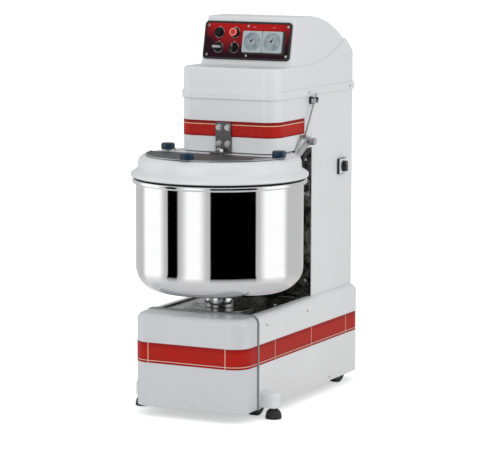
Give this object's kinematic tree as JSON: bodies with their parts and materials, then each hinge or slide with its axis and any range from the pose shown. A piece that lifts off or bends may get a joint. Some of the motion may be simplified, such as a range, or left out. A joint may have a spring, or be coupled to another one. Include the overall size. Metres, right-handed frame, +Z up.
{
  "type": "commercial spiral dough mixer",
  "caption": "Floor-standing spiral dough mixer: low base, column and overhanging head with console, polished fixed bowl under a lifting lid, spiral hook and breaker bar.",
  "frame": {"origin": "on the floor under the middle of the machine, midway between the front of the lid and the rear of the head", "axes": "+Z up, front facing -Y, +X to the right seen from the front"},
  "size_m": [0.582, 0.981, 1.281],
  "materials": {
    "white_paint": "semi-gloss powder coat",
    "white_moulding": "glossy moulded shell",
    "red_band": "printed vinyl band",
    "grey_seal": "matte",
    "black_seal": "matte",
    "black_rubber": "matte",
    "polished_steel": "mirror polished stainless",
    "satin_steel": "satin stainless",
    "dark_steel": "dark satin sheet",
    "frame_paint": "grey primer",
    "hub_steel": "turned steel",
    "cast_housing": "painted light grey",
    "motor_paint": "finned motor casing",
    "black_belt": "matte",
    "black_plastic": "fine texture",
    "navy_plastic": "moulded knob",
    "red_plastic": "moulded button",
    "grey_plastic": "moulded",
    "panel_red": "printed panel",
    "silver_plastic": "silver timer case",
    "wheel": "rubber tyre on steel",
    "bolt_steel": "bright zinc"
  },
  "bodies": {
    "machine": {"base_frame": "frame_paint", "base_shell": "white_paint", "base_front_cover": "white_moulding", "base_seam_gasket": "grey_seal", "base_deck_plate": "dark_steel", "base_bands": "red_band", "foot_bosses": "white_moulding", "column_frame": "frame_paint", "column_shell": "white_paint", "column_front_panel": "dark_steel", "head_lower_cover": "white_moulding", "head_band": "red_band", "rear_bowl_cover": "white_moulding", "head_upper_cover": "white_moulding", "bowl_bearing_housing": "cast_housing", "bowl_belt": "black_belt", "bowl_motor": "motor_paint", "roller_brackets": "satin_steel", "spiral_bearing_housing": "cast_housing", "spiral_belts": "black_belt", "spiral_motor": "motor_paint", "breaker_bar_bracket": "dark_steel", "bracket_bolts": "bolt_steel", "breaker_bar": "polished_steel", "lid_pivots": "satin_steel", "stay_clamp": "black_plastic", "control_panel_gasket": "black_seal", "control_panel": "panel_red", "control_bezels": "silver_plastic", "timer_bodies": "silver_plastic", "mains_switch_body": "grey_plastic", "electrical_box": "grey_plastic", "cable_gland": "black_plastic", "cover_screws": "bolt_steel"},
    "bowl": {"bowl": "polished_steel", "bowl_hub": "hub_steel", "bowl_pulley": "cast_housing"},
    "bowl_motor_pulley": {"bowl_motor_pulley": "hub_steel"},
    "spiral": {"spiral_hook": "polished_steel", "spiral_pulley": "cast_housing"},
    "spiral_motor_pulley": {"spiral_motor_pulley": "hub_steel"},
    "left_guide_roller": {"left_guide_roller": "black_plastic"},
    "right_guide_roller": {"right_guide_roller": "black_plastic"},
    "lid": {"lid_shell": "white_moulding", "lid_seal": "black_seal", "lid_guard_plate": "satin_steel", "lid_knobs": "navy_plastic", "lid_arms": "satin_steel"},
    "stay_rod": {"stay_rod": "satin_steel"},
    "start_button": {"start_button": "black_plastic"},
    "stop_button": {"stop_button": "red_plastic"},
    "speed_selector": {"speed_selector": "grey_plastic"},
    "bowl_selector": {"bowl_selector": "black_plastic"},
    "left_timer_knob": {"left_timer_knob": "black_plastic"},
    "right_timer_knob": {"right_timer_knob": "black_plastic"},
    "mains_switch_knob": {"mains_switch_knob": "black_plastic"},
    "front_wheelset": {"front_wheelset": "wheel"},
    "rear_wheelset": {"rear_wheelset": "wheel"},
    "left_foot": {"left_foot": "black_rubber"},
    "right_foot": {"right_foot": "black_rubber"}
  },
  "joints": [
    {"name": "bowl_spin", "type": "hinge", "parent": "machine", "child": "bowl", "pos_m": [0, -0.1995, 0.396], "axis": [0, 0, 1], "continuous": true},
    {"name": "bowl_motor_spin", "type": "hinge", "parent": "machine", "child": "bowl_motor_pulley", "pos_m": [0, 0.0305, 0.185], "axis": [0, 0, 1], "continuous": true},
    {"name": "left_roller_spin", "type": "hinge", "parent": "machine", "child": "left_guide_roller", "pos_m": [-0.15, 0.0635, 0.704], "axis": [0, 0, 1], "continuous": true},
    {"name": "right_roller_spin", "type": "hinge", "parent": "machine", "child": "right_guide_roller", "pos_m": [0.15, 0.0635, 0.704], "axis": [0, 0, 1], "continuous": true},
    {"name": "spiral_spin", "type": "hinge", "parent": "machine", "child": "spiral", "pos_m": [0, -0.0495, 0.85], "axis": [0, 0, 1], "continuous": true},
    {"name": "spiral_motor_spin", "type": "hinge", "parent": "machine", "child": "spiral_motor_pulley", "pos_m": [0, 0.2805, 0.97], "axis": [0, 0, 1], "continuous": true},
    {"name": "lid_hinge", "type": "hinge", "parent": "machine", "child": "lid", "pos_m": [0, 0.0965, 0.867], "axis": [-1, 0, 0], "range_deg": [0, 36]},
    {"name": "stay_rod_swivel", "type": "hinge", "parent": "lid", "child": "stay_rod", "pos_m": [0.194, 0.0395, 0.886], "axis": [-1, 0, 0], "range_deg": [-40, 2]},
    {"name": "start_press", "type": "slide", "parent": "machine", "child": "start_button", "axis": [0, 0.9769, -0.2137], "range_m": [0, 0.004], "stiffness_N_per_m": 400},
    {"name": "stop_press", "type": "slide", "parent": "machine", "child": "stop_button", "axis": [0, 0.9769, -0.2137], "range_m": [0, 0.004], "stiffness_N_per_m": 400},
    {"name": "speed_select", "type": "hinge", "parent": "machine", "child": "speed_selector", "pos_m": [-0.1085, 0.00552, 1.17597], "axis": [0, -0.9769, 0.2137], "range_deg": [0, 90]},
    {"name": "bowl_select", "type": "hinge", "parent": "machine", "child": "bowl_selector", "pos_m": [-0.05, 0.00552, 1.17597], "axis": [0, -0.9769, 0.2137], "range_deg": [-45, 45]},
    {"name": "left_timer_turn", "type": "hinge", "parent": "machine", "child": "left_timer_knob", "pos_m": [0.018, 0.01001, 1.19648], "axis": [0, 0.9769, -0.2137], "range_deg": [0, 300]},
    {"name": "right_timer_turn", "type": "hinge", "parent": "machine", "child": "right_timer_knob", "pos_m": [0.0915, 0.01001, 1.19648], "axis": [0, 0.9769, -0.2137], "range_deg": [0, 300]},
    {"name": "mains_switch_turn", "type": "hinge", "parent": "machine", "child": "mains_switch_knob", "pos_m": [0.1885, 0.3655, 0.758], "axis": [-1, 0, 0], "range_deg": [0, 90]},
    {"name": "front_wheels_roll", "type": "hinge", "parent": "machine", "child": "front_wheelset", "pos_m": [0, -0.2645, 0.046], "axis": [1, 0, 0], "continuous": true},
    {"name": "rear_wheels_roll", "type": "hinge", "parent": "machine", "child": "rear_wheelset", "pos_m": [0, 0.3705, 0.046], "axis": [1, 0, 0], "continuous": true},
    {"name": "left_foot_screw", "type": "slide", "parent": "machine", "child": "left_foot", "axis": [0, 0, -1], "range_m": [0, 0.015]},
    {"name": "right_foot_screw", "type": "slide", "parent": "machine", "child": "right_foot", "axis": [0, 0, -1], "range_m": [0, 0.015]}
  ],
  "couplings": [
    {"joint": "bowl_motor_spin", "follows": "bowl_spin", "ratio": 3.25},
    {"joint": "left_roller_spin", "follows": "bowl_spin", "ratio": -9.939},
    {"joint": "right_roller_spin", "follows": "bowl_spin", "ratio": -9.939},
    {"joint": "spiral_motor_spin", "follows": "spiral_spin", "ratio": 3},
    {"joint": "stay_rod_swivel", "follows": "lid_hinge", "ratio": -1.0309}
  ]
}
